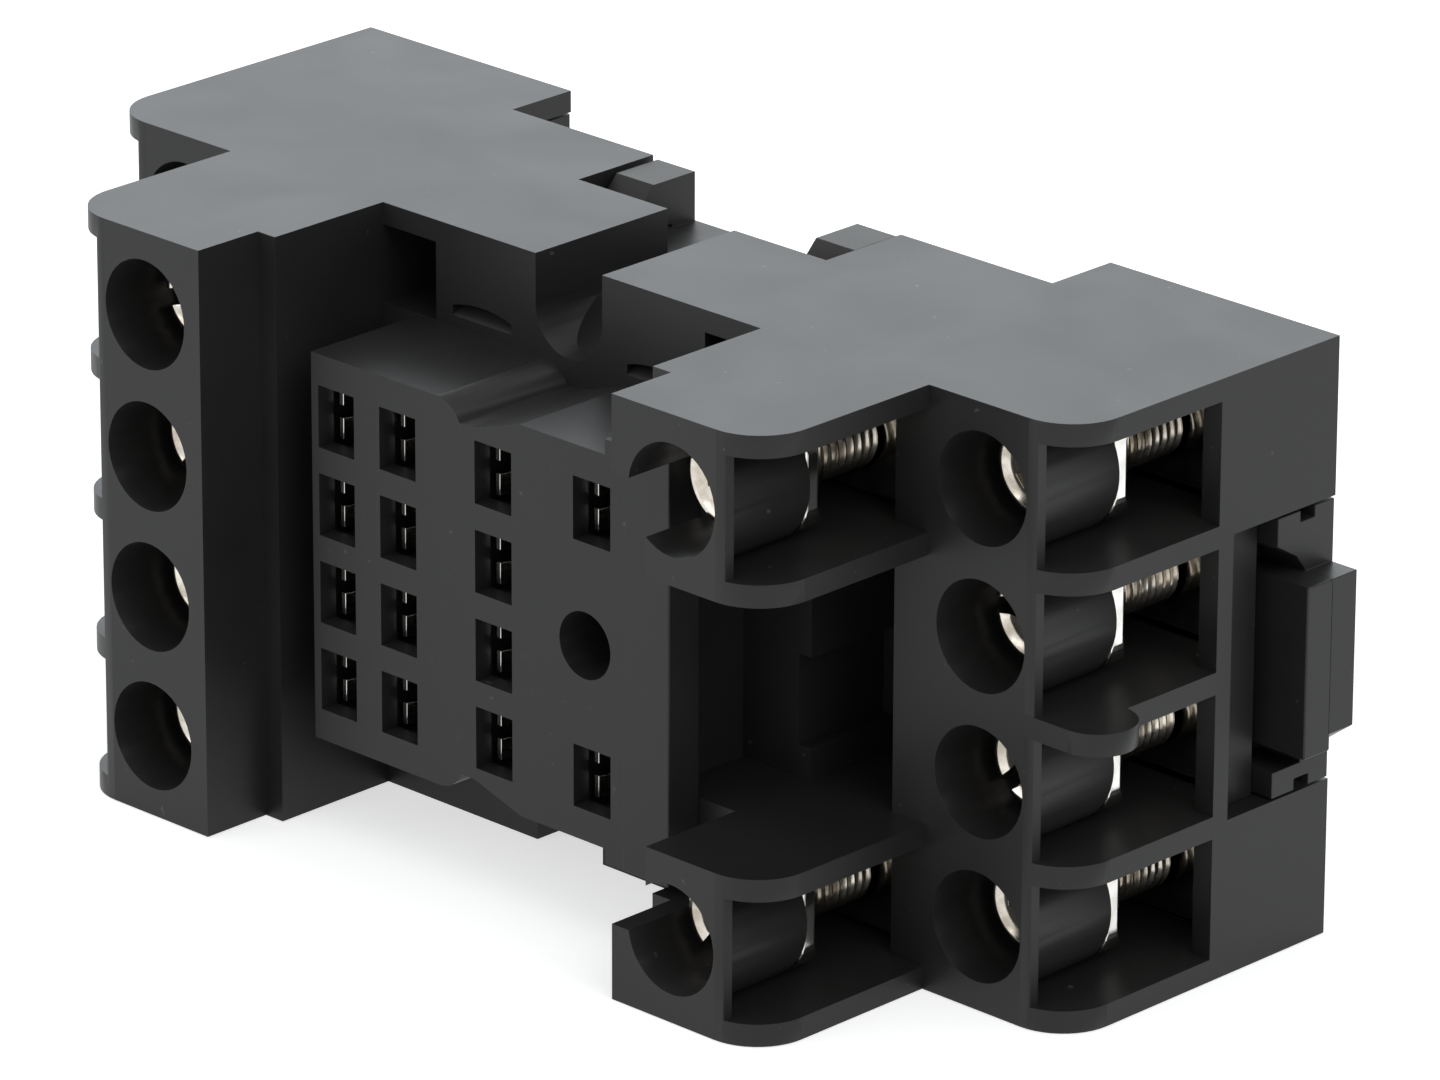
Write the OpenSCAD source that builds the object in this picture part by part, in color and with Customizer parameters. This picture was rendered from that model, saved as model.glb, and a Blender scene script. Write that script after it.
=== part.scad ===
// Rail-mounted screw socket for a four-pole plug-in relay, lying on its side plate.
// X runs along the socket, Y from the relay side to the rail side, Z across the four rows.
// Screws and clamps are modelled fully open, ready for wires.

/* [Body] */
// Length over the end walls
body_len = 63.3; // [62:0.1:72]
// Depth from the front faces to the rail side
body_depth = 28.6; // [27:0.1:34]
// Distance between two terminal rows
row_pitch = 7.1; // [6.8:0.05:8]
// Thickness of the side plates, fins and end walls
wall = 1.1; // [0.8:0.05:1.4]
// Length over the front tier
front_len = 45.6; // [44.5:0.1:48]
// Depth of the step between the front and the rear tier
step_depth = 10.8; // [10:0.1:12]
// Radius of the outer corners of both tiers
corner_r = 2.8; // [0.5:0.1:3.2]

/* [Relay seat] */
// Depth of the seat below the front faces
seat_depth = 3.8; // [3:0.1:5]
// Width of the seat block across the rows
seat_w = 19.4; // [18.5:0.1:20.5]
// Length of the seat block on the coil side of the centre
seat_out_coil = 11.3; // [10.6:0.1:11.8]
// Length of the seat block on the other side of the centre
seat_out_far = 10; // [9.9:0.1:11.5]
// Half of the gap between the front blocks, ahead of the seat plane
mouth_half = 13.5; // [13:0.1:14]
// Half of the gap between the front blocks, behind the seat plane
throat_half = 12.35; // [12:0.05:12.8]
// Width of the relay recess across the rows
relay_w = 22; // [21.2:0.1:22.6]
// Reach of the relay recess into the coil blocks, from the centre
relay_reach = 15.65; // [15:0.05:16.5]
// Depth of the ledges beside the coil blocks
ledge_depth = 5.8; // [5:0.1:7]
// Depth of the pocket between the coil blocks
pocket_depth = 16.5; // [14:0.1:18]

/* [Contacts] */
// Distance between two contact slots across the rows
slot_pitch = 4.4; // [4.2:0.05:4.6]
// Length of a contact slot
slot_len = 2.4; // [2:0.1:2.6]
// Width of a contact slot
slot_w = 3.1; // [2.8:0.1:3.3]
// Distance of the break contact column from the centre
break_x = 8.35; // [8.2:0.05:8.4]
// Distance of the make contact column from the centre
make_x = 4.25; // [4.1:0.05:4.6]
// Distance of the common contact column from the centre
common_x = 2.05; // [1.9:0.05:2.4]
// Distance of the coil contact column from the centre
coil_x = 8.45; // [8.2:0.05:8.8]
// Depth of the contact tips below the seat plane
tip_depth = 1.2; // [1.1:0.1:2]
// Sheet thickness of the contact leaves
leaf_t = 0.35; // [0.3:0.05:0.45]

/* [Terminals] */
// Distance from a tier's end to its screw axes
screw_inset = 5.55; // [5.4:0.05:5.8]
// Radius of the screwdriver bores
bore_r = 2.7; // [2.6:0.05:2.85]
// Outer radius of the screw tubes
tube_r = 3.3; // [3.2:0.05:3.5]
// Thickness of the front plate around the bores
front_t = 0.6; // [0.5:0.1:1.6]
// Thickness of the terminal strips
strip_t = 0.8; // [0.6:0.05:1]
// Width of the terminal strips
strip_w = 2.4; // [2:0.1:2.6]
// Length of a rear terminal plate
plate_len = 6.8; // [6.6:0.1:7]
// Width of a terminal plate
plate_w = 5.4; // [5:0.1:5.8]

/* [Screws and clamps] */
// Radius of the screw heads
head_r = 2.4; // [2.1:0.05:2.5]
// Height of the screw heads
head_h = 2.2; // [1.8:0.1:2.6]
// Outer radius of the screw thread
thread_r = 1.5; // [1.4:0.05:1.55]
// Length of the screws below the head
screw_len = 7; // [6.5:0.1:7.2]
// Width of the slot in the screw heads
drive_w = 0.8; // [0.6:0.1:1]
// Depth of the slot in the screw heads
drive_depth = 1.1; // [0.8:0.1:1.4]
// Length of a clamp plate
clamp_len = 5.7; // [5.4:0.1:5.8]
// Width of a clamp plate
clamp_w = 5.3; // [5:0.1:5.6]
// Sheet thickness of a clamp plate
clamp_t = 0.9; // [0.7:0.05:1]
// Height of the wire ridges under a clamp plate
ridge_h = 0.5; // [0.3:0.05:0.6]

/* [Rail side] */
// Length of the rail recess
rail_gap = 35.3; // [35.2:0.05:36]
// Depth of the rail recess
rail_depth = 4; // [3.8:0.1:5]
// Thickness of the base under the rail
base_t = 1.7; // [1.5:0.05:2.2]
// Reach of the rail hooks over the rail
hook_reach = 1.15; // [0.9:0.05:1.4]
// Gap that the hooks leave for the rail's edge
hook_gap = 1.6; // [1.3:0.05:2]
// Half length of the notches in the side plates
notch_half = 8.1; // [7.9:0.05:8.6]
// Depth of the notches along Y, ahead of the rail recess
notch_len = 5.05; // [4.6:0.05:5.4]
// Depth of the notches across the rows
notch_in = 2.5; // [2.3:0.05:2.7]
// Half width of the channel in the middle of the side plates
channel_half = 2.18; // [1.8:0.02:2.6]
// Depth of that channel across the rows
channel_in = 3.1; // [2.7:0.05:3.6]
// Radius of the shoulder of the scoops in the seat's edges
scoop_r = 1.6; // [1.2:0.1:2]
// Depth of those scoops
scoop_depth = 0.95; // [0.7:0.05:1]
// Rise of the arched openings beside the channels
arch_rise = 0.3; // [0.1:0.05:0.5]

/* [Latch] */
// Width of the rail latch across the rows
latch_w = 13.75; // [13.5:0.05:14]
// Travel of the rail latch
latch_travel = 2.6; // [2:0.1:2.8]
// Reach of the thumb tab beyond the end wall
tab_out = 1.55; // [1:0.05:1.7]
// Width of the thumb tab
tab_w = 8.65; // [7:0.05:10]
// Thickness of the latch's outer edge, beside its recess
edge_t = 1.95; // [1.5:0.05:2.4]
// Depth of the recess in the latch's outer end
recess_depth = 2.6; // [1.5:0.1:2.8]
// Radius of the spring wire
wire_r = 0.2; // [0.15:0.01:0.25]
// Radius of the spring, to the middle of its wire
coil_r = 1.1; // [1:0.05:1.2]
// Turns of the spring
coil_turns = 6; // [5:1:8]

/* [Mounting] */
// Radius of the mounting hole
mount_r = 1.65; // [1.5:0.05:1.75]
// Distance of the mounting hole from the centre
mount_x = 8; // [7.7:0.05:8.2]
// Reach of the nose on the middle fin beyond the end wall
nose_out = 1.75; // [1.7:0.05:2]
// Length of that nose along Y
nose_len = 3.8; // [3.4:0.1:4]

/* [Clearances] */
// Gap between the base and the housing
fit = 0.1; // [0.05:0.01:0.15]
// Gap around the terminal strips
strip_fit = 0.1; // [0.05:0.01:0.15]
// Radial gap around the screw threads
thread_gap = 0.05; // [0.03:0.01:0.08]
// Gap between the ends of the terminal plates and the wall behind them
plate_gap = 0.5; // [0.3:0.05:0.6]
// Gap beside the sliding latch
latch_gap = 0.12; // [0.08:0.01:0.2]

/* [Hidden] */
$fn = 48;
CUT = 1;                // how far a cutting tool passes the face that it cuts
ROWS = 4;
body_w = ROWS * row_pitch + wall;
mid_z = body_w / 2;
half_len = body_len / 2;
front_half = front_len / 2;
cell_half = (row_pitch - wall) / 2;
rail_y = body_depth - rail_depth;
base_y = rail_y - base_t;
plate_depth = base_y - step_depth;
engage = 0.5;           // thread held by the terminal plate when open
shut_gap = 0.2;         // what is left above the terminal plate when shut
clamp_h = clamp_t + ridge_h;
head_depth = plate_depth + engage - screw_len - head_h;
tube_len = head_depth + head_h - fit;
screw_travel = screw_len - engage - clamp_h - shut_gap;
pocket_in = 3;          // pocket behind the screw axis, away from the wire entry
tier_wall = 2;          // wall between the front pockets and the rear tubes
seat_top = mid_z + seat_w / 2;
channel_z = seat_top + 2.55;    // where the channel's round floor begins
arch_x = [3.8, 7.7];
arch_z = [seat_top + 0.6, seat_top + 1.4];
arch_depth = 1.2;
scoop_x = [0.7, 3.8];   // bottom and outer end of the scoops
lip_y = rail_y - 4;     // where the end walls begin
coil_block_w = row_pitch + wall;
notch_y = rail_y - notch_len;
latch_y = rail_y + latch_gap / 2;
latch_t = rail_depth - latch_gap;
bay_half = latch_w / 2 + latch_gap;
window_half = 5.55;     // half width of the latch's window
recess_web = 0.8;       // what is left between the latch's window and its recess
window_x = [half_len - recess_depth - recess_web - 9, half_len - recess_depth - recess_web];
post_x = [window_x[1] - 1.9, window_x[1] - 0.3];
post_half = 1.3;
recess_z = [mid_z - 5.6, mid_z + 3.9, mid_z + 4.7, mid_z + 5.5];
tab_z = mid_z - 0.5;    // middle of the thumb tab
tongue_x = half_len - 10;
hole_r = 2.1;           // holes in the base that the screw tips enter
leaf_half = 1.1;        // contact leaves, from the middle of their slot
leaf_w = 2.8;
chamber = [3.1, 3.7];   // contact chamber along X and Z
slot_cover = 1;         // plastic over the contact chambers
web_y = plate_depth;    // where the contact leaves join
neck_w = 1.3;
neck_x = mouth_half - 0.6;
com_neck_x = 4.3;
rib = [1.9, 2.8];       // ribs of the base, from the middle of a row
rib_back = 2.3;         // their reach behind the screw axis
lug_x = [5.3, 7.8];
lug_y = rail_y - 3.7;
lug_bevel = 0.9;        // bevel at the front of the lugs
lug_root = 1;           // how far the lugs reach into the base's edge
lug_grip = 0.55;        // how far their hooks reach under the side plates' edge
lug_gap = 0.15;         // how far they stay below the side plates' faces
catch_len = 1.1;        // length of the catches behind the lugs' fronts
black = [0.13, 0.13, 0.14];
metal = [0.78, 0.77, 0.74];

// Terminal groups: name, side, tier, rows, contact column, where the strip changes row
GROUPS = [
    ["break", -1, 0, [0, 1, 2, 3], break_x, neck_x],
    ["make", -1, 1, [0, 1, 2, 3], make_x, neck_x],
    ["common", 1, 1, [0, 1, 2, 3], common_x, com_neck_x],
    ["coil", 1, 0, [0, 3], coil_x, neck_x]
];
PIECES = ["terminal", "clamp", "screw"];

function row_z(row) = wall / 2 + row_pitch * (row + 0.5);
function slot_z(row) = mid_z + slot_pitch * (row - (ROWS - 1) / 2);
function tier_y(tier) = tier * step_depth;
function tier_half(tier) = tier == 0 ? front_half : half_len;
function axis_x(tier) = tier_half(tier) - screw_inset;

// Outer end of the pockets, seen from the centre, and the terminal plates that end before it
function pocket_end(tier) = tier == 0 ? axis_x(1) - tube_r - tier_wall : half_len - wall;
function plate_end(tier) = pocket_end(tier) - plate_gap;
function plate_start(tier) = axis_x(tier) - (plate_len + axis_x(1) - plate_end(1));

// Everything is drawn about the socket's own centre and then moved to the part's origin
module placed() {
    translate([-nose_out / 2, -body_depth / 2, 0]) children();
}

module along_y(y0, y1) {
    translate([0, y1, 0]) rotate([90, 0, 0]) linear_extrude(y1 - y0) children();
}

module along_x(x0, x1) {
    translate([x0, 0, 0]) rotate([90, 0, 90]) linear_extrude(x1 - x0) children();
}

module box(low, high) {
    translate(low) cube(high - low);
}

module y_cylinder(r, x, z, y0, y1) {
    translate([x, y0, z]) rotate([-90, 0, 0]) cylinder(r = r, h = y1 - y0);
}

module on_side(side) {
    if (side < 0) mirror([1, 0, 0]) children();
    else children();
}

// Both long sides are alike, so their features are drawn at the top and mirrored
module both_plates() {
    children();
    translate([0, 0, body_w]) mirror([0, 0, 1]) children();
}

// Block seen along Z, with its outer front corner rounded
module block_outline(x0, x1, y0, y1) {
    r = corner_r;
    translate([x0, y0]) square([x1 - x0 - r, y1 - y0]);
    translate([x0, y0 + r]) square([x1 - x0, y1 - y0 - r]);
    translate([x1 - r, y0 + r]) circle(r);
}

module rear_outline() {
    block_outline(0, half_len, step_depth, body_depth);
    mirror([1, 0]) block_outline(0, half_len, step_depth, body_depth);
}

module front_outline() {
    difference() {
        block_outline(throat_half, front_half, 0, step_depth + CUT);
        translate([throat_half - CUT, -CUT]) square([mouth_half - throat_half + CUT, seat_depth + CUT]);
    }
}

module nose() {
    reach = nose_len / 2;
    translate([0, 0, mid_z - wall / 2]) linear_extrude(wall) {
        translate([half_len - corner_r, step_depth]) square([corner_r + nose_out - reach, nose_len]);
        translate([half_len + nose_out - reach, step_depth + reach]) circle(reach);
    }
}

module coil_blocks() {
    both_plates() {
        difference() {
            linear_extrude(coil_block_w) front_outline();
            box([throat_half - CUT, -CUT, mid_z - relay_w / 2], [relay_reach, step_depth, coil_block_w + CUT]);
        }
        box([seat_out_coil, ledge_depth, mid_z - relay_w / 2], [relay_reach + CUT, step_depth + CUT, coil_block_w]);
    }
}

module seat_block() {
    step = 0.75;
    box([-seat_out_far, seat_depth, mid_z - seat_w / 2],
        [seat_out_coil, step_depth + CUT, mid_z + seat_w / 2]);
    box([seat_out_coil - 2, seat_depth, mid_z - seat_w / 2 - step],
        [seat_out_coil, step_depth + CUT, mid_z + seat_w / 2 + step]);
}

// Room for one terminal: screw bore, wire entry and clamp pocket
module cell_cut(tier) {
    x = axis_x(tier);
    face = tier_y(tier);
    out = tier_half(tier) + nose_out + CUT;
    open_y = tier == 0 ? step_depth : lip_y;
    y_cylinder(bore_r, x, 0, face - CUT, face + tube_len + CUT);
    box([x + tube_r, face - CUT, -cell_half], [out, face + tube_len + CUT, cell_half]);
    difference() {
        box([x, face + front_t, -cell_half], [x + tube_r + CUT, face + tube_len + CUT, cell_half]);
        y_cylinder(tube_r, x, 0, face, face + tube_len);
    }
    box([x - pocket_in, face + tube_len, -cell_half], [out, open_y, cell_half]);
    box([x - pocket_in, face + tube_len, -cell_half], [pocket_end(tier), base_y + CUT, cell_half]);
}

module cell_cuts() {
    for (g = GROUPS) on_side(g[1]) for (row = g[3]) {
        translate([0, 0, row_z(row)]) cell_cut(g[2]);
    }
}

// One terminal strip seen along Y, grown by a clearance
module strip_outline(group, row, grow) {
    tier = group[2];
    low_z = min(row_z(row), slot_z(row)) - strip_w / 2 - grow;
    high_z = max(row_z(row), slot_z(row)) + strip_w / 2 + grow;
    in_x = group[4] - leaf_half - grow;
    neck = group[5];
    plate_x = plate_start(tier);
    translate([plate_x - grow, row_z(row) - plate_w / 2 - grow])
        square([plate_end(tier) - plate_x + 2 * grow, plate_w + 2 * grow]);
    translate([neck - grow, row_z(row) - strip_w / 2 - grow]) square([plate_x - neck, strip_w + 2 * grow]);
    translate([neck - grow, low_z]) square([neck_w + 2 * grow, high_z - low_z]);
    translate([in_x, slot_z(row) - strip_w / 2 - grow]) square([neck - in_x, strip_w + 2 * grow]);
}

module contact_cuts() {
    for (g = GROUPS) on_side(g[1]) for (row = g[3]) {
        z = slot_z(row);
        box([g[4] - slot_len / 2, seat_depth - CUT, z - slot_w / 2],
            [g[4] + slot_len / 2, seat_depth + slot_cover + CUT, z + slot_w / 2]);
        box([g[4] - chamber[0] / 2, seat_depth + slot_cover, z - chamber[1] / 2],
            [g[4] + chamber[0] / 2, base_y + CUT, z + chamber[1] / 2]);
        if (g[2] == 0) along_y(plate_depth, base_y + CUT) strip_outline(g, row, strip_fit);
    }
}

// Channel down the middle of the side plate: round floor, with a ramp up from the seat block
module channel_cut() {
    top = body_w + CUT;
    intersection() {
        along_y(step_depth - CUT, notch_y + CUT) {
            translate([0, channel_z]) circle(channel_half);
            translate([-channel_half, channel_z]) square([2 * channel_half, top - channel_z]);
        }
        along_x(-channel_half - CUT, channel_half + CUT) polygon([
            [step_depth - CUT, seat_top - CUT], [step_depth + 0.4, seat_top],
            [step_depth + 4, body_w - channel_in], [notch_y + CUT, body_w - channel_in],
            [notch_y + CUT, top], [step_depth - CUT, top]
        ]);
    }
}

// Arched opening beside the channel, with a sloping floor
module arch_cut() {
    half = (arch_x[1] - arch_x[0]) / 2;
    r = (half * half + arch_rise * arch_rise) / (2 * arch_rise);
    intersection() {
        along_y(step_depth - CUT, step_depth + arch_depth) intersection() {
            translate([arch_x[0], arch_z[0]]) square([2 * half, arch_z[1] - arch_z[0]]);
            translate([arch_x[0] + half, arch_z[1] - r]) circle(r, $fn = 180);
        }
        along_x(arch_x[0] - CUT, arch_x[1] + CUT) polygon([
            [step_depth - CUT, arch_z[0]], [step_depth, arch_z[0]],
            [step_depth + arch_depth, arch_z[1]], [step_depth - CUT, arch_z[1]]
        ]);
    }
}

// Scoop in the edge of the seat block: rounded shoulder on one side, gentle rise on the other
module scoop_cut() {
    floor_z = seat_top - scoop_depth;
    along_y(seat_depth - CUT, step_depth) difference() {
        polygon([
            [-scoop_r, seat_top + CUT], [-scoop_r, floor_z], [scoop_x[0], floor_z],
            [scoop_x[1], seat_top], [scoop_x[1], seat_top + CUT]
        ]);
        translate([-scoop_r, seat_top - scoop_r]) circle(scoop_r);
    }
}

// Features of the upper side plate, between the tiers and the rail
module plate_cuts() {
    window = 3.55;
    window_end = 16.5;
    // notch that shows the base's snap lugs
    box([-notch_half, notch_y, body_w - notch_in], [notch_half, rail_y + CUT, body_w + CUT]);
    channel_cut();
    scoop_cut();
    for (side = [-1, 1]) on_side(side) {
        arch_cut();
        // clip pockets beside the front blocks
        box([throat_half - window, step_depth - CUT, seat_top + 0.05], [throat_half, window_end, body_w - wall]);
        // catches for the lugs
        box([lug_x[0] - fit, lug_y - fit, body_w - notch_in - lug_grip - fit / 2],
            [lug_x[1] + fit, lug_y + catch_len, body_w]);
    }
}

module pocket_cuts() {
    low_z = coil_block_w;
    high_z = body_w - coil_block_w;
    box([relay_reach, step_depth - CUT, low_z], [pocket_end(0), pocket_depth, high_z]);
    box([relay_reach - 0.8, step_depth - CUT, low_z + 1.6], [relay_reach + CUT, pocket_depth, low_z + 6.1]);
}

module base_cut() {
    box([-half_len + wall, base_y, wall], [half_len - wall, body_depth + CUT, body_w - wall]);
    box([-rail_gap / 2, rail_y, -CUT], [rail_gap / 2, body_depth + CUT, body_w + CUT]);
    box([half_len - wall - CUT, rail_y - 3, mid_z - bay_half], [half_len + CUT, body_depth + CUT, mid_z + bay_half]);
}

module housing() {
    color(black) placed() difference() {
        union() {
            difference() {
                union() {
                    linear_extrude(body_w) {
                        rear_outline();
                        mirror([1, 0]) front_outline();
                    }
                    coil_blocks();
                    seat_block();
                }
                cell_cuts();
            }
            nose();
        }
        contact_cuts();
        both_plates() plate_cuts();
        pocket_cuts();
        base_cut();
        y_cylinder(mount_r, mount_x, mid_z, 0, body_depth);
    }
}

// Base outline seen along Y: full width, with a waist between the notches
module base_outline() {
    difference() {
        translate([-half_len + wall + fit, wall + fit])
            square([body_len - 2 * (wall + fit), body_w - 2 * (wall + fit)]);
        both_waists() translate([-notch_half - fit, body_w - notch_in - fit])
            square([2 * (notch_half + fit), notch_in + CUT]);
    }
}

module both_waists() {
    children();
    translate([0, body_w]) mirror([0, 1]) children();
}

module foot_outline() {
    x0 = rail_gap / 2;
    x1 = half_len - wall - fit;
    hook_y = rail_y + hook_gap;
    polygon([
        [x0, rail_y - 0.2], [x1, rail_y - 0.2], [x1, body_depth], [x0 + 0.1, body_depth],
        [x0 - hook_reach, body_depth - 1.1], [x0 - hook_reach, hook_y], [x0, hook_y]
    ]);
}

module feet() {
    low_z = wall + fit;
    mirror([1, 0, 0]) difference() {
        translate([0, 0, low_z]) linear_extrude(body_w - 2 * low_z) foot_outline();
        // the hook is left off beside the side plates
        both_plates() box([0, rail_y, body_w - wall - 2.5], [rail_gap / 2, body_depth + CUT, body_w]);
    }
    both_plates() box([rail_gap / 2, rail_y - 0.2, low_z], [half_len - wall - fit, body_depth, mid_z - bay_half]);
}

module base_ribs() {
    for (g = GROUPS) if (g[2] == 0) on_side(g[1]) for (row = g[3]) for (side = [-1, 1]) {
        z = row_z(row) + side * (rib[0] + rib[1]) / 2;
        half = (rib[1] - rib[0]) / 2;
        box([axis_x(0) - rib_back, plate_depth + strip_t + strip_fit / 2, z - half],
            [pocket_end(0) - fit, base_y + 0.3, z + half]);
    }
}

module lug() {
    top = body_w - lug_gap;
    low = body_w - notch_in + fit;
    along_x(lug_x[0], lug_x[1]) polygon([
        [rail_y, low - lug_root], [rail_y, top], [lug_y + lug_bevel, top], [lug_y, top - lug_bevel],
        [lug_y, low - 0.2], [lug_y + 0.3, low - lug_grip], [lug_y + lug_bevel, low - lug_grip],
        [lug_y + lug_bevel, low], [base_y + fit, low], [base_y + fit, low - lug_root]
    ]);
}

module rear_base() {
    color(black) placed() difference() {
        union() {
            along_y(base_y + fit / 2, rail_y) base_outline();
            feet();
            base_ribs();
            both_plates() for (side = [-1, 1]) on_side(side) lug();
            // post that the latch spring pushes on
            box([post_x[0], rail_y - 0.2, mid_z - post_half], [post_x[1], body_depth - 0.3, mid_z + post_half]);
            translate([post_x[0] - 1, rail_y + rail_depth / 2, mid_z]) rotate([0, 90, 0]) cylinder(r = 0.7, h = 1.2);
            // tongues that hold the latch in its bay
            both_plates() box([tongue_x, rail_y + 1.7, mid_z - bay_half - 0.2],
                [half_len - wall - 0.6, rail_y + 2.5, mid_z - bay_half + 0.45]);
        }
        for (g = GROUPS) on_side(g[1]) for (row = g[3]) if (g[2] == 1) {
            along_y(base_y - CUT, base_y + strip_t + strip_fit / 2) strip_outline(g, row, strip_fit);
            y_cylinder(hole_r, axis_x(1), row_z(row), base_y - CUT, body_depth + CUT);
        }
        // the base is cored out from the rail side
        for (side = [-1, 1]) for (row = [0 : ROWS - 1]) {
            inner = abs(row_z(row) - mid_z) < row_pitch && side > 0;
            x0 = rail_gap / 2 + 1.2;
            if (!inner) on_side(side) box([x0, rail_y + 0.5, row_z(row) - cell_half + 0.4],
                [axis_x(1) - hole_r - 0.9, body_depth + CUT, row_z(row) + cell_half - 0.4]);
        }
        y_cylinder(mount_r, mount_x, mid_z, 0, body_depth);
    }
}

module latch_outline() {
    x0 = rail_gap / 2 + 0.1;
    nose_x = x0 - hook_reach;
    y1 = latch_y + latch_t;
    polygon([
        [x0, latch_y], [half_len, latch_y], [half_len, y1], [x0, y1],
        [nose_x, y1 - 1.2], [nose_x, rail_y + hook_gap], [x0, rail_y + hook_gap]
    ]);
}

module rail_latch() {
    half = latch_w / 2;
    edge_y = latch_y + latch_t - edge_t;
    color(black) placed() difference() {
        union() {
            translate([0, 0, mid_z - half]) linear_extrude(latch_w) latch_outline();
            // thumb tab, narrower at its outer edge
            along_y(edge_y + 0.1, latch_y + latch_t - 0.1) polygon([
                [half_len - CUT, tab_z - tab_w / 2], [half_len + 0.2, tab_z - tab_w / 2],
                [half_len + tab_out, tab_z - tab_w / 2 + 1], [half_len + tab_out, tab_z + tab_w / 2],
                [half_len - CUT, tab_z + tab_w / 2]
            ]);
            translate([window_x[0] - 0.2, rail_y + rail_depth / 2, mid_z]) rotate([0, 90, 0])
                cylinder(r = 0.7, h = 1.6);
        }
        difference() {
            box([window_x[0], rail_y - CUT, mid_z - window_half], [window_x[1], body_depth + CUT, mid_z + window_half]);
            translate([window_x[0] - CUT, rail_y + rail_depth / 2, mid_z]) rotate([0, 90, 0])
                cylinder(r = 0.7, h = 1.4 + CUT);
        }
        // recess in the outer end, ahead of the edge with the tab
        along_x(half_len - recess_depth, half_len + CUT) polygon([
            [latch_y - CUT, recess_z[0]], [edge_y, recess_z[0]], [edge_y, recess_z[1]],
            [edge_y - 0.6, recess_z[2]], [latch_y, recess_z[3]], [latch_y - CUT, recess_z[3]]
        ]);
        // grooves for the tongues of the base
        both_plates() box([tongue_x - latch_travel - latch_gap, rail_y + 1.6, 0],
            [half_len + CUT, rail_y + 2.6, mid_z - half + 0.55]);
    }
}

// Ring of points around the spring wire at one place on the helix
function coil_ring(angle, x, sides) = [
    for (i = [0 : sides - 1]) let (a = 360 * i / sides, r = coil_r + wire_r * cos(a))
        [x + wire_r * sin(a), r * cos(angle), r * sin(angle)]
];

module latch_spring() {
    sides = 8;
    steps = 16;
    x0 = window_x[0] + wire_r + 0.05;
    x1 = post_x[0] - wire_r - 0.05;
    count = coil_turns * steps;
    rings = [for (k = [0 : count]) coil_ring(360 * k / steps, x0 + (x1 - x0) * k / count, sides)];
    points = [for (ring = rings) for (p = ring) p];
    walls = [for (k = [0 : count - 1]) for (i = [0 : sides - 1])
        let (j = (i + 1) % sides) [k * sides + i, k * sides + j, (k + 1) * sides + j, (k + 1) * sides + i]];
    caps = [[for (i = [sides - 1 : -1 : 0]) i], [for (i = [0 : sides - 1]) count * sides + i]];
    color(metal) placed() translate([0, rail_y + rail_depth / 2, mid_z])
        polyhedron(points, concat(walls, caps));
}

// Leaf of a contact: straight leg, bent in to grip the pin, flared at its tip
module leaf() {
    tip = seat_depth + tip_depth;
    line = [[leaf_half, web_y + strip_t], [leaf_half, tip + 4], [leaf_half - 0.35, tip + 1.4], [leaf_half, tip]];
    inner = [for (i = [3 : -1 : 0]) line[i] - [leaf_t, 0]];
    polygon(concat(line, inner));
}

module contact(z) {
    tip = seat_depth + tip_depth;
    difference() {
        translate([0, 0, z - leaf_w / 2]) linear_extrude(leaf_w) {
            leaf();
            mirror([1, 0]) leaf();
            translate([-leaf_half, web_y]) square([2 * leaf_half, strip_t]);
        }
        // each leaf ends in two fingers
        box([-leaf_half - CUT, tip - CUT, z - 0.3], [leaf_half + CUT, tip + 4.4, z + 0.3]);
    }
}

module terminal(group, row) {
    tier = group[2];
    y0 = tier_y(tier) + plate_depth;
    z = slot_z(row);
    color(metal) placed() on_side(group[1]) difference() {
        union() {
            along_y(y0, y0 + strip_t) strip_outline(group, row, 0);
            translate([group[4], 0, 0]) contact(z);
            if (tier == 1) box([group[4] + leaf_half - strip_t, web_y, z - strip_w / 2],
                [group[4] + leaf_half, y0 + strip_t, z + strip_w / 2]);
        }
        y_cylinder(thread_r + thread_gap, axis_x(tier), row_z(row), y0 - CUT, y0 + strip_t + CUT);
    }
}

module clamp(group, row) {
    x = axis_x(group[2]);
    y0 = tier_y(group[2]) + head_depth + head_h;
    z = row_z(row);
    y1 = y0 + clamp_t;
    color(metal) placed() on_side(group[1]) difference() {
        union() {
            box([x - clamp_len / 2, y0, z - clamp_w / 2], [x + clamp_len / 2, y1, z + clamp_w / 2]);
            // two ridges on each side of the screw grip the wires
            for (side = [-1, 1]) translate([x + side * clamp_len * 0.38, 0, z - clamp_w / 2])
                linear_extrude(clamp_w)
                polygon([[-ridge_h, y1 - 0.01], [ridge_h, y1 - 0.01], [0, y1 + ridge_h]]);
        }
        y_cylinder(thread_r + thread_gap, x, z, y0 - CUT, y1 + CUT);
    }
}

// Head with a rounded rim and a slot, thread, and a short lead-in at the tip
module screw(group, row) {
    x = axis_x(group[2]);
    y0 = tier_y(group[2]) + head_depth;
    rim = 0.35;
    lead = 0.4;
    end = head_h + screw_len;
    color(metal) placed() on_side(group[1]) translate([x, y0, row_z(row)]) rotate([-90, 0, 0]) difference() {
        rotate_extrude() polygon([
            [0, 0], [head_r - rim, 0], [head_r, rim], [head_r, head_h], [thread_r, head_h],
            [thread_r, end - lead], [thread_r - lead, end], [0, end]
        ]);
        translate([-head_r - CUT, -drive_w / 2, -CUT]) cube([2 * (head_r + CUT), drive_w, drive_depth + CUT]);
    }
}

housing();
rear_base();
rail_latch();
latch_spring();
for (g = GROUPS) for (row = g[3]) {
    terminal(g, row);
    clamp(g, row);
    screw(g, row);
}
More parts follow.
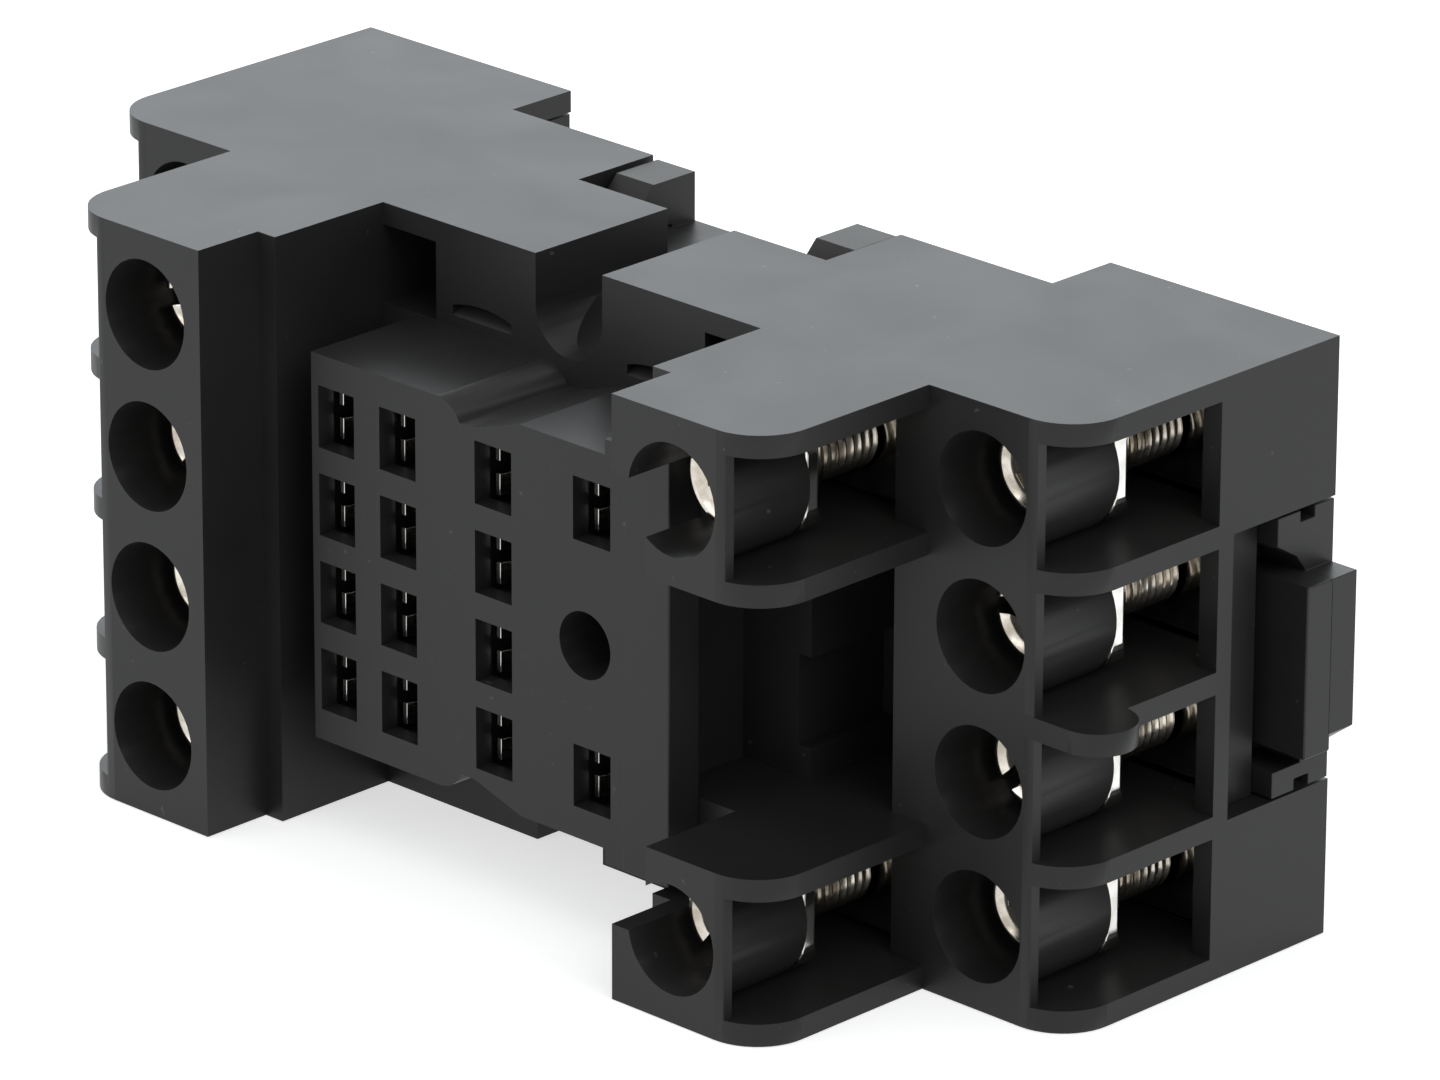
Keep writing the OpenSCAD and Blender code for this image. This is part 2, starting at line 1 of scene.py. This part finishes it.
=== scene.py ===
"""Looks of the relay socket: finishes, detailed screws and clamps, studio and camera."""
import math

import bmesh
import bpy
from mathutils import Matrix, Vector


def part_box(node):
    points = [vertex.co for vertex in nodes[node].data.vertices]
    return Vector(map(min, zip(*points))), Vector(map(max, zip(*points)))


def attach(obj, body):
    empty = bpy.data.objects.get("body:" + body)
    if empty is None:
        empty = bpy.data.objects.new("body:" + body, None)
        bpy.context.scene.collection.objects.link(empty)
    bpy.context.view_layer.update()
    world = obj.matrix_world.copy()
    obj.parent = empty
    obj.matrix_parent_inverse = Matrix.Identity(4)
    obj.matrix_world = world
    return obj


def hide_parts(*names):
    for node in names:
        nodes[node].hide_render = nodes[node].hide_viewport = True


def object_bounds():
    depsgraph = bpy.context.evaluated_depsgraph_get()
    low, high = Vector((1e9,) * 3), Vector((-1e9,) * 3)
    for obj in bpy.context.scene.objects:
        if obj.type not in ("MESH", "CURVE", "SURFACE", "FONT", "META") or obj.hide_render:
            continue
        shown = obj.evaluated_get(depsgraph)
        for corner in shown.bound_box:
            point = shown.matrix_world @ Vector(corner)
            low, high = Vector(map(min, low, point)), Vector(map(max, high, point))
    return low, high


MM = 0.001

# Roundings of edges
EDGE_HOUSING = 0.09 * MM
EDGE_BASE = 0.08 * MM
EDGE_LATCH = 0.12 * MM
EDGE_TERMINAL = 0.04 * MM
EDGE_SCREW = 0.06 * MM
EDGE_CLAMP = 0.07 * MM

# Screw
THREAD_PITCH = 0.5 * MM
THREAD_R = 1.5 * MM
THREAD_ROOT = 1.22 * MM
THREAD_PROFILE = (0.0, 0.0, 0.55, 1.0, 1.0, 0.45)   # height of the thread along one turn
THREAD_STEPS = 40
LEAD_IN_LEN = 0.45 * MM      # the thread fades out over this length
LEAD_IN_DEPTH = 0.22 * MM    # and the core narrows by this much
HEAD_R = 2.4 * MM
HEAD_H = 2.2 * MM
HEAD_RIM = 0.38 * MM         # radius of the head's rounded rim
HEAD_DISH = 0.22 * MM        # depth of the hollow in the head
HEAD_STEPS = 56
RIM_STEPS = 5
SCREW_LEN = 7.0 * MM
SLOT_W = 0.8 * MM
SLOT_DEPTH = 1.1 * MM
CROSS_HALF_W = 0.38 * MM     # short arms across the slot
CROSS_ARM = 1.35 * MM
CROSS_SHARE = 0.92           # of the slot's depth

# Clamp plate
TOOTH_DEPTH = 0.5 * MM
SIDE_TOOTH_SHORTER = 0.12 * MM
END_RISE = 0.1 * MM
WING_SHARE = 0.28            # of the plate's length, at each end
TOOTH_HALF_SHARE = 0.45      # of the distance between teeth
CLAMP_END_R = 0.24 * MM
CLAMP_CORNER_R = 1.3 * MM
CLAMP_HOLE_R = 1.6 * MM
CLAMP_FUNNEL_R = 1.9 * MM
CLAMP_FUNNEL_DEPTH = 0.25 * MM
CORNER_STEPS = 8

# Studio
FLOOR_GLOW = 0.62            # what the floor shows beyond the light that it gets
FLOOR_GAP = 0.00005
FILL_STRENGTH = 0.55         # of the world, for rays that light the object
LIGHT_AIM = Vector((0.0, 0.0, 0.015))

HALF_BODY = 31.65 * MM       # from the housing's end to the socket's centre

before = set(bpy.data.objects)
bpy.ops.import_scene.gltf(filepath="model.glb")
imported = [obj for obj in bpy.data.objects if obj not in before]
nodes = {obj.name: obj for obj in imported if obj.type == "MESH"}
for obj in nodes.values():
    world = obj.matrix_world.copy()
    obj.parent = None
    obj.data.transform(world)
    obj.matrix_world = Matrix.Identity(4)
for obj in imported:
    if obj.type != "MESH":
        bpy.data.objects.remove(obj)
cad_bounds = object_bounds()
group_names = ("break", "make", "common", "coil")


# ---------------------------------------------------------------- finishes
def new_material(name):
    material = bpy.data.materials.new(name)
    material.use_nodes = True
    tree = material.node_tree
    shader = tree.nodes["Principled BSDF"]
    coords = tree.nodes.new("ShaderNodeTexCoord")
    return material, tree, shader, coords.outputs["Object"]


def noise(tree, coords, scale, detail=4.0, roughness=0.55, distortion=0.0):
    node = tree.nodes.new("ShaderNodeTexNoise")
    tree.links.new(coords, node.inputs["Vector"])
    node.inputs["Scale"].default_value = scale
    node.inputs["Detail"].default_value = detail
    node.inputs["Roughness"].default_value = roughness
    node.inputs["Distortion"].default_value = distortion
    return node.outputs["Fac"]


def ramp(tree, factor, stops):
    node = tree.nodes.new("ShaderNodeValToRGB")
    tree.links.new(factor, node.inputs["Fac"])
    elements = node.color_ramp.elements
    while len(elements) < len(stops):
        elements.new(0.5)
    for element, (place, color) in zip(elements, stops):
        element.position = place
        element.color = (*color, 1.0)
    return node.outputs["Color"]


def spread(tree, factor, low, high):
    """Maps the middle of a noise onto low to high."""
    node = tree.nodes.new("ShaderNodeMapRange")
    tree.links.new(factor, node.inputs["Value"])
    node.inputs["From Min"].default_value = 0.3
    node.inputs["From Max"].default_value = 0.7
    node.inputs["To Min"].default_value = low
    node.inputs["To Max"].default_value = high
    return node.outputs["Result"]


def bump(tree, shader, heights):
    """Chains bump nodes: each height has its own strength and distance."""
    normal = None
    for height, strength, distance in heights:
        node = tree.nodes.new("ShaderNodeBump")
        node.inputs["Strength"].default_value = strength
        node.inputs["Distance"].default_value = distance
        tree.links.new(height, node.inputs["Height"])
        if normal:
            tree.links.new(normal, node.inputs["Normal"])
        normal = node.outputs["Normal"]
    tree.links.new(normal, shader.inputs["Normal"])


def plastic(name, dark, light, rough_low, rough_high):
    """Black moulded thermoplastic: fine spark-eroded grain, faint flow marks, a few dust specks."""
    material, tree, shader, coords = new_material(name)
    flow = noise(tree, coords, 160.0, 3.0, 0.5, 0.6)
    grain = noise(tree, coords, 7500.0, 3.0, 0.6)
    waves = noise(tree, coords, 420.0, 2.0, 0.5)
    speck = noise(tree, coords, 1500.0, 2.0, 0.5)
    body = ramp(tree, flow, [(0.3, dark), (0.7, light)])
    dust = ramp(tree, speck, [(0.0, (0, 0, 0)), (0.74, (0, 0, 0)), (0.8, (0.05, 0.05, 0.052))])
    mix = tree.nodes.new("ShaderNodeMix")
    mix.data_type = "RGBA"
    mix.blend_type = "ADD"
    mix.inputs[0].default_value = 1.0
    tree.links.new(body, mix.inputs[6])       # 6 and 7 are the colours A and B
    tree.links.new(dust, mix.inputs[7])
    tree.links.new(mix.outputs[2], shader.inputs["Base Color"])
    tree.links.new(spread(tree, flow, rough_low, rough_high), shader.inputs["Roughness"])
    shader.inputs["IOR"].default_value = 1.5
    shader.inputs["Specular IOR Level"].default_value = 0.30
    bump(tree, shader, [(waves, 0.12, 0.00002), (grain, 0.35, 0.00001)])
    return material


def metal(name, tint, shade, rough_low, rough_high, streak=(1.0, 1.0, 1.0)):
    """Plated metal: cloudy roughness, fine drawn lines, darker film in patches."""
    material, tree, shader, coords = new_material(name)
    stretch = tree.nodes.new("ShaderNodeMapping")
    stretch.inputs["Scale"].default_value = streak
    tree.links.new(coords, stretch.inputs["Vector"])
    lines = noise(tree, stretch.outputs["Vector"], 5200.0, 3.0, 0.6)
    cloud = noise(tree, coords, 900.0, 4.0, 0.55)
    tree.links.new(ramp(tree, cloud, [(0.35, shade), (0.62, tint)]), shader.inputs["Base Color"])
    tree.links.new(spread(tree, cloud, rough_high, rough_low), shader.inputs["Roughness"])
    shader.inputs["Metallic"].default_value = 1.0
    bump(tree, shader, [(lines, 0.12, 0.000006)])
    return material


housing_black = plastic("housing_black", (0.0140, 0.0139, 0.0140), (0.0170, 0.0169, 0.0170),
                        0.41, 0.45)
base_black = plastic("base_black", (0.0132, 0.0130, 0.0130), (0.0162, 0.0160, 0.0160),
                     0.43, 0.48)
latch_black = plastic("latch_black", (0.0144, 0.0143, 0.0144), (0.0174, 0.0173, 0.0174),
                      0.38, 0.43)
screw_metal = metal("screw_metal", (0.70, 0.66, 0.59), (0.46, 0.41, 0.34), 0.12, 0.24)
clamp_metal = metal("clamp_metal", (0.84, 0.83, 0.80), (0.68, 0.66, 0.62), 0.09, 0.18,
                    (0.15, 1.0, 1.0))
terminal_metal = metal("terminal_metal", (0.72, 0.71, 0.68), (0.50, 0.48, 0.44), 0.08, 0.16,
                       (1.0, 0.15, 1.0))
spring_metal = metal("spring_steel", (0.62, 0.61, 0.60), (0.45, 0.44, 0.43), 0.22, 0.34)


def set_material(obj, material):
    obj.data.materials.clear()
    obj.data.materials.append(material)


def soften(obj, width, segments=2):
    """Rounds the edges a little, as a mould does, on the welded mesh."""
    weld = obj.modifiers.new("weld", "WELD")
    weld.merge_threshold = 1e-7
    flat = obj.modifiers.new("flat", "DECIMATE")
    flat.decimate_type = "DISSOLVE"
    flat.angle_limit = math.radians(0.5)
    edge = obj.modifiers.new("edge", "BEVEL")
    edge.width = width
    edge.segments = segments
    edge.limit_method = "ANGLE"
    edge.angle_limit = math.radians(28.0)
    edge.use_clamp_overlap = True
    edge.harden_normals = True
    edge.miter_outer = "MITER_ARC"


# ---------------------------------------------------------------- carried-over nodes
for name, obj in nodes.items():
    if name == "housing":
        set_material(obj, housing_black)
        soften(obj, EDGE_HOUSING)
    elif name == "rear_base":
        set_material(obj, base_black)
        soften(obj, EDGE_BASE)
    elif name == "rail_latch":
        set_material(obj, latch_black)
        soften(obj, EDGE_LATCH, 3)
    elif name == "latch_spring":
        set_material(obj, spring_metal)
    elif "_terminal_" in name:
        set_material(obj, terminal_metal)
        soften(obj, EDGE_TERMINAL, 1)


# ---------------------------------------------------------------- meshes
def lathe(bm, profile, steps):
    """Turns a list of (radius, y) round the Y axis."""
    rings = []
    for radius, y in profile:
        if radius < 1e-9:
            rings.append([bm.verts.new((0, y, 0))])
            continue
        rings.append([bm.verts.new((radius * math.cos(a), y, radius * math.sin(a)))
                      for a in (2 * math.pi * i / steps for i in range(steps))])
    for low, high in zip(rings, rings[1:]):
        for i in range(steps):
            j = (i + 1) % steps
            if len(low) == 1:
                bm.faces.new((low[0], high[i], high[j]))
            elif len(high) == 1:
                bm.faces.new((low[i], high[0], low[j]))
            else:
                bm.faces.new((low[i], high[i], high[j], low[j]))


def mesh_object(name, bm):
    bmesh.ops.recalc_face_normals(bm, faces=bm.faces)
    mesh = bpy.data.meshes.new(name)
    bm.to_mesh(mesh)
    bm.free()
    obj = bpy.data.objects.new(name, mesh)
    bpy.context.scene.collection.objects.link(obj)
    return obj


def box_into(bm, low, high):
    made = bmesh.ops.create_cube(bm, size=1.0)["verts"]
    low, high = Vector(low), Vector(high)
    for v in made:
        v.co = Vector((low[k] + (v.co[k] + 0.5) * (high[k] - low[k]) for k in range(3)))


def extruded(name, points, depth):
    """Solid on the flat outline of points, drawn out by the vector depth."""
    bm = bmesh.new()
    face = bm.faces.new([bm.verts.new(point) for point in points])
    moved = bmesh.ops.extrude_face_region(bm, geom=[face])["geom"]
    far_end = [g for g in moved if isinstance(g, bmesh.types.BMVert)]
    bmesh.ops.translate(bm, vec=depth, verts=far_end)
    return mesh_object(name, bm)


def baked(obj):
    """Applies the modifiers."""
    depsgraph = bpy.context.evaluated_depsgraph_get()
    mesh = bpy.data.meshes.new_from_object(obj.evaluated_get(depsgraph))
    obj.modifiers.clear()
    obj.data = mesh


def cut_with(obj, cutter, operation="DIFFERENCE"):
    """Boolean step, applied, and the cutter removed."""
    cut = obj.modifiers.new("cut", "BOOLEAN")
    cut.operation = operation
    cut.solver = "EXACT"
    cut.use_self = True
    cut.object = cutter
    baked(obj)
    bpy.data.objects.remove(cutter)


def bevelled(obj, width, angle, harden=False):
    edge = obj.modifiers.new("edge", "BEVEL")
    edge.width = width
    edge.segments = 2
    edge.limit_method = "ANGLE"
    edge.angle_limit = math.radians(angle)
    edge.harden_normals = harden
    baked(obj)


# ---------------------------------------------------------------- screws
def thread_into(bm, start, end):
    """A real helix with flat crests, fading out at the tip."""
    rows_per_turn = len(THREAD_PROFILE)
    row = THREAD_PITCH / rows_per_turn
    count = int((end - start) / row) - rows_per_turn
    sunk_start = start - 0.2 * MM      # inside the head
    columns = []
    for i in range(THREAD_STEPS):
        angle = 2 * math.pi * i / THREAD_STEPS
        line = []
        for k in range(count + rows_per_turn + 1):
            y = start + k * row + THREAD_PITCH * i / THREAD_STEPS - THREAD_PITCH
            y = min(max(y, sunk_start), end)
            fade = min(1.0, max(0.0, (end - y) / LEAD_IN_LEN))
            height = THREAD_PROFILE[k % rows_per_turn]
            radius = THREAD_ROOT + (THREAD_R - THREAD_ROOT) * height * fade
            radius -= LEAD_IN_DEPTH * (1 - fade)
            line.append(bm.verts.new((radius * math.cos(angle), y, radius * math.sin(angle))))
        columns.append(line)
    for i in range(THREAD_STEPS):
        here = columns[i]
        beside = columns[(i + 1) % THREAD_STEPS]
        shift = rows_per_turn if i == THREAD_STEPS - 1 else 0
        for k in range(count):
            bm.faces.new((here[k], here[k + 1], beside[k + 1 + shift], beside[k + shift]))


def make_screw():
    bm = bmesh.new()
    ease = 0.02 * MM
    profile = [(0, HEAD_DISH), (HEAD_R * 0.62, HEAD_DISH), (HEAD_R * 0.68, HEAD_DISH - ease),
               (HEAD_R - HEAD_RIM - 0.08 * MM, ease), (HEAD_R - HEAD_RIM - 0.03 * MM, 0)]
    for i in range(RIM_STEPS + 1):
        a = math.radians(90 * i / RIM_STEPS)
        profile.append((HEAD_R - HEAD_RIM + HEAD_RIM * math.sin(a),
                        HEAD_RIM - HEAD_RIM * math.cos(a)))
    foot = 0.12 * MM
    profile += [(HEAD_R, HEAD_H - foot), (HEAD_R - foot, HEAD_H), (0, HEAD_H)]
    lathe(bm, profile, HEAD_STEPS)
    head = mesh_object("screw_head", bm)
    bm = bmesh.new()
    far = HEAD_R + MM
    box_into(bm, (-far, -MM, -SLOT_W / 2), (far, SLOT_DEPTH, SLOT_W / 2))
    cut_with(head, mesh_object("slot_cutter", bm))
    bm = bmesh.new()
    box_into(bm, (-CROSS_HALF_W, -MM, -CROSS_ARM),
             (CROSS_HALF_W, SLOT_DEPTH * CROSS_SHARE, CROSS_ARM))
    cut_with(head, mesh_object("cross_cutter", bm))
    bevelled(head, EDGE_SCREW, 35)
    bm = bmesh.new()
    bm.from_mesh(head.data)
    end = HEAD_H + SCREW_LEN
    thread_into(bm, HEAD_H, end)
    tip = end - 0.4 * MM
    lathe(bm, [(0, tip), (THREAD_ROOT - 0.1 * MM, tip), (THREAD_ROOT - LEAD_IN_DEPTH, end),
               (0, end)], THREAD_STEPS)
    mesh = bpy.data.meshes.new("screw")
    bmesh.ops.recalc_face_normals(bm, faces=bm.faces)
    bm.to_mesh(mesh)
    bm.free()
    bpy.data.objects.remove(head)
    for polygon in mesh.polygons:
        polygon.use_smooth = True
    mesh.set_sharp_from_angle(angle=math.radians(32))
    mesh.materials.append(screw_metal)
    return mesh


# ---------------------------------------------------------------- clamps
def rounded_prism(length, width, radius):
    """Prism along Y with rounded corners, as large as a clamp plate seen from its screw."""
    outline = []
    for corner, (sx, sz) in enumerate(((1, 1), (-1, 1), (-1, -1), (1, -1))):
        for k in range(CORNER_STEPS + 1):
            a = math.radians(90 * corner + 90 / CORNER_STEPS * k)
            outline.append((sx * (length / 2 - radius) + radius * math.cos(a),
                            sz * (width / 2 - radius) + radius * math.sin(a)))
    return extruded("prism", [(x, -MM, z) for x, z in outline], (0, 4 * MM, 0))


def make_clamp(size):
    """Pressed clamp plate: toothed underside at both wings, a funnelled hole, rounded edges."""
    length, height, width = size
    plate = height - TOOTH_DEPTH
    half = length / 2
    teeth = [(-half, plate - END_RISE)]
    wing = length * WING_SHARE
    step = wing / 3
    for side in (-1, 1):
        middle = side * (half - wing / 2)
        for k in range(3):
            x = middle - wing / 2 + step * (k + 0.5)
            depth = height if k == 1 else height - SIDE_TOOTH_SHORTER
            teeth += [(x - step * TOOTH_HALF_SHARE, plate), (x, depth),
                      (x + step * TOOTH_HALF_SHARE, plate)]
    teeth.append((half, plate - END_RISE))
    arc = [(CLAMP_END_R * (1 - math.cos(a)), CLAMP_END_R * (1 - math.sin(a)))
           for a in (math.radians(18 * i) for i in range(6))]
    outline = [(-half + x, y) for x, y in arc] + [(half - x, y) for x, y in reversed(arc)]
    outline += list(reversed(teeth))
    clamp = extruded("clamp_plate", [(x, y, -width / 2) for x, y in outline], (0, 0, width))
    bm = bmesh.new()
    lathe(bm, [(0, -MM), (CLAMP_FUNNEL_R, -MM), (CLAMP_FUNNEL_R, 0.0),
               (CLAMP_HOLE_R, CLAMP_FUNNEL_DEPTH), (CLAMP_HOLE_R, 3 * MM), (0, 3 * MM)], 40)
    cut_with(clamp, mesh_object("hole_cutter", bm))
    cut_with(clamp, rounded_prism(length, width, CLAMP_CORNER_R), "INTERSECT")
    bevelled(clamp, EDGE_CLAMP, 40, harden=True)
    mesh = clamp.data
    bpy.data.objects.remove(clamp)
    mesh.materials.append(clamp_metal)
    return mesh


def drive_angle(group, row):
    """Each screw stopped at an angle of its own."""
    return math.radians(25 + 47 * row + 31 * group_names.index(group))


screw_mesh = make_screw()
clamp_meshes = {}
for group in group_names:
    for row in range(4):
        screw_node = f"{group}_screw_{row + 1}"
        if screw_node not in nodes:
            continue
        low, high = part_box(screw_node)
        screw = bpy.data.objects.new(f"{group}_screw_detail_{row + 1}", screw_mesh)
        bpy.context.scene.collection.objects.link(screw)
        place = Matrix.Translation(((low.x + high.x) / 2, low.y, (low.z + high.z) / 2))
        screw.matrix_world = place @ Matrix.Rotation(drive_angle(group, row), 4, "Y")
        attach(screw, screw_node)
        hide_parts(screw_node)

        clamp_node = f"{group}_clamp_{row + 1}"
        low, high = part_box(clamp_node)
        size = tuple(round(v, 7) for v in (high - low))
        if size not in clamp_meshes:
            clamp_meshes[size] = make_clamp(size)
        clamp = bpy.data.objects.new(f"{group}_clamp_detail_{row + 1}", clamp_meshes[size])
        bpy.context.scene.collection.objects.link(clamp)
        place = Matrix.Translation(((low.x + high.x) / 2, low.y, (low.z + high.z) / 2))
        clamp.matrix_world = place
        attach(clamp, clamp_node)
        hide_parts(clamp_node)


# ---------------------------------------------------------------- forms that the solids lack
def add_block(name, body, material, low, high):
    """Bevelled block. Corners in mm, from the socket's centre, its front and the floor."""
    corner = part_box("housing")[0]
    centre_x = corner.x + HALF_BODY
    corners = [(centre_x + x * MM, corner.y + y * MM, z * MM) for x, y, z in (low, high)]
    bm = bmesh.new()
    box_into(bm, *corners)
    block = mesh_object(name, bm)
    set_material(block, material)
    soften(block, EDGE_HOUSING)
    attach(block, body)


add_block("seat_end_plate", "socket", housing_black,
          (10.4, 3.78, 4.3), (13.4, 5.8, 25.2))
add_block("latch_slider_face", "rail_latch", latch_black,
          (29.1, 25.05, 10.1), (33.2, 26.85, 18.57))


# ---------------------------------------------------------------- studio
def seen_directly(tree):
    """1 for rays from the camera, in gloss and through glass, 0 for those that light the object."""
    path = tree.nodes.new("ShaderNodeLightPath")
    total = path.outputs["Is Camera Ray"]
    for name in ("Is Glossy Ray", "Is Transmission Ray"):
        add = tree.nodes.new("ShaderNodeMath")
        add.operation = "ADD"
        add.use_clamp = True
        tree.links.new(total, add.inputs[0])
        tree.links.new(path.outputs[name], add.inputs[1])
        total = add.outputs["Value"]
    return total


def make_floor():
    bm = bmesh.new()
    bmesh.ops.create_grid(bm, x_segments=4, y_segments=4, size=1.5)
    floor = mesh_object("floor", bm)
    floor.location.z = cad_bounds[0][2] - FLOOR_GAP
    material, tree, shader, coords = new_material("floor_white")
    shade = noise(tree, coords, 40.0, 2.0)
    tree.links.new(ramp(tree, shade, [(0.3, (0.79, 0.79, 0.79)), (0.7, (0.81, 0.81, 0.81))]),
                   shader.inputs["Base Color"])
    shader.inputs["Roughness"].default_value = 0.9
    shader.inputs["Specular IOR Level"].default_value = 0.2
    shader.inputs["Emission Color"].default_value = (1.0, 1.0, 1.0, 1.0)
    glow = tree.nodes.new("ShaderNodeMath")
    glow.operation = "MULTIPLY"
    glow.inputs[1].default_value = FLOOR_GLOW
    tree.links.new(seen_directly(tree), glow.inputs[0])
    tree.links.new(glow.outputs["Value"], shader.inputs["Emission Strength"])
    material.cycles.emission_sampling = "NONE"
    floor.data.materials.append(material)


def area_light(name, place, size, power, color=(1.0, 1.0, 1.0)):
    data = bpy.data.lights.new(name, "AREA")
    data.color = color
    data.shape = "RECTANGLE"
    data.size, data.size_y = size
    data.energy = power
    light = bpy.data.objects.new(name, data)
    bpy.context.scene.collection.objects.link(light)
    light.location = place
    light.rotation_euler = (LIGHT_AIM - Vector(place)).to_track_quat("-Z", "Y").to_euler()


def make_world():
    world = bpy.data.worlds.new("studio")
    bpy.context.scene.world = world
    world.use_nodes = True
    world.cycles.sampling_method = "NONE"
    tree = world.node_tree
    tree.nodes.clear()
    out = tree.nodes.new("ShaderNodeOutputWorld")
    seen = tree.nodes.new("ShaderNodeBackground")
    seen.inputs["Color"].default_value = (1, 1, 1, 1)
    seen.inputs["Strength"].default_value = 1.0
    fill = tree.nodes.new("ShaderNodeBackground")
    fill.inputs["Color"].default_value = (0.96, 0.98, 1.0, 1)
    fill.inputs["Strength"].default_value = FILL_STRENGTH
    mix = tree.nodes.new("ShaderNodeMixShader")
    tree.links.new(seen_directly(tree), mix.inputs["Fac"])
    tree.links.new(fill.outputs["Background"], mix.inputs[1])
    tree.links.new(seen.outputs["Background"], mix.inputs[2])
    tree.links.new(mix.outputs["Shader"], out.inputs["Surface"])


make_floor()
make_world()
area_light("back_softbox", (-0.36, 0.37, 0.22), (0.70, 0.36), 1.5, (0.88, 0.95, 1.0))
area_light("key_softbox", (0.42, -0.12, 0.42), (0.35, 0.35), 0.8)
area_light("front_softbox", (-0.22, -0.48, 0.26), (0.40, 0.30), 0.5)


# ---------------------------------------------------------------- camera
def make_camera():
    """The camera fitted to the photo's straight edges."""
    place = Vector((0.30388, -0.30759, 0.18298))
    azimuth, elevation, roll = 0.7701446, 0.3703523, 0.0034291
    back = Vector((math.sin(azimuth) * math.cos(elevation),
                   -math.cos(azimuth) * math.cos(elevation),
                   math.sin(elevation)))
    side = Vector((math.cos(azimuth), math.sin(azimuth), 0))
    top = back.cross(side)
    right = math.cos(roll) * side + math.sin(roll) * top
    up = -math.sin(roll) * side + math.cos(roll) * top
    data = bpy.data.cameras.new("camera")
    data.sensor_width = 36.0
    data.lens = 247.15
    data.clip_start = 0.01
    data.clip_end = 10.0
    camera = bpy.data.objects.new("camera", data)
    bpy.context.scene.collection.objects.link(camera)
    turn = Matrix((right, up, back)).transposed().to_4x4()
    camera.matrix_world = Matrix.Translation(place) @ turn
    bpy.context.scene.camera = camera


make_camera()
bpy.context.scene.view_settings.view_transform = "Standard"
bpy.context.scene.view_settings.look = "None"

bpy.context.view_layer.update()
